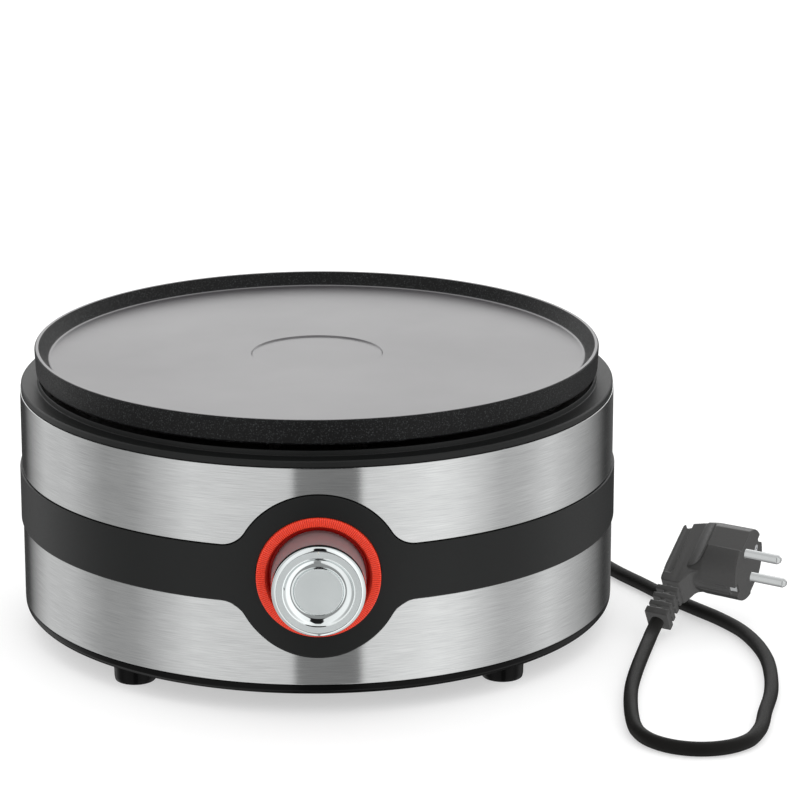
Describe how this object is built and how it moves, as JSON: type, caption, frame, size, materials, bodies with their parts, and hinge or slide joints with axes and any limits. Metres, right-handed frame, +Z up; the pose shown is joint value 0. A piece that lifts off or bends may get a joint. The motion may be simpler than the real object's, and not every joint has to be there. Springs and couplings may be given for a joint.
{
  "type": "hot plate burner",
  "caption": "Round table-top electric hot plate: raised-rim cast plate on a banded steel drum, front thermostat knob in a lit ring, feet, mains cord and plug.",
  "frame": {"origin": "on the table, at the middle of the object's bounding box without its cord", "axes": "+Z up, -Y is the front with the knob, +X to the right as seen from the front"},
  "size_m": [0.3888, 0.4555, 0.1449],
  "materials": {
    "plate": "matt non-stick coated casting, dark sparkling rim",
    "brushed_steel": "brushed along the band",
    "plain_steel": "plain",
    "chrome": "bright chrome",
    "brass": "plain",
    "copper": "plain copper",
    "satin_black": "satin black moulding",
    "gloss_black": "gloss black moulding",
    "cord_black": "matt black PVC",
    "lamp_red": "translucent red",
    "ceramic": "white ceramic",
    "natural_plastic": "natural",
    "wire_brown": "insulated",
    "wire_blue": "insulated",
    "wire_green": "insulated",
    "wire_white": "insulated"
  },
  "bodies": {
    "hot_plate": {"hotplate": "plate", "heating_element": "plain_steel", "sensor_bulb": "copper", "capillary_tube": "copper", "thermal_fuse": "ceramic", "heat_shield": "plain_steel", "upper_steel_band": "brushed_steel", "lower_steel_band": "brushed_steel", "waist_core": "satin_black", "collar_ring": "satin_black", "base_plate": "gloss_black", "cord_gland": "cord_black", "cord_clamp": "natural_plastic", "terminal_block": "ceramic", "control_bracket": "plain_steel", "thermostat_body": "natural_plastic", "thermostat_nut": "brass", "light_ring": "lamp_red", "indicator_lamp": "lamp_red", "live_wire": "wire_brown", "neutral_wire": "wire_blue", "element_wire": "wire_white", "earth_wire": "wire_green", "cord_lead": "cord_black", "cord_coil": "cord_black", "coil_tie": "cord_black", "power_cord": "cord_black", "plug_body": "cord_black", "element_clamp_1": "plain_steel", "plate_standoff_1": "plain_steel", "standoff_nut_1": "plain_steel", "tie_rod_1": "plain_steel", "element_clamp_2": "plain_steel", "plate_standoff_2": "plain_steel", "standoff_nut_2": "plain_steel", "tie_rod_2": "plain_steel", "element_clamp_3": "plain_steel", "plate_standoff_3": "plain_steel", "standoff_nut_3": "plain_steel", "tie_rod_3": "plain_steel", "foot_1": "gloss_black", "foot_screw_1": "plain_steel", "foot_2": "gloss_black", "foot_screw_2": "plain_steel", "foot_3": "gloss_black", "foot_screw_3": "plain_steel", "foot_4": "gloss_black", "foot_screw_4": "plain_steel", "cord_clamp_screw_1": "plain_steel", "plug_pin_1": "chrome", "plug_earth_clip_1": "plain_steel", "cord_clamp_screw_2": "plain_steel", "plug_pin_2": "chrome", "plug_earth_clip_2": "plain_steel", "plug_earth_sleeve": "plain_steel"},
    "knob": {"knob_shell": "chrome", "knob_hub": "gloss_black", "knob_spring_clip": "plain_steel", "thermostat_shaft": "plain_steel"}
  },
  "joints": [
    {"name": "knob_turn", "type": "hinge", "parent": "hot_plate", "child": "knob", "pos_m": [0, -0.15, 0.07], "axis": [0, 1, 0], "range_deg": [0, 270]}
  ]
}
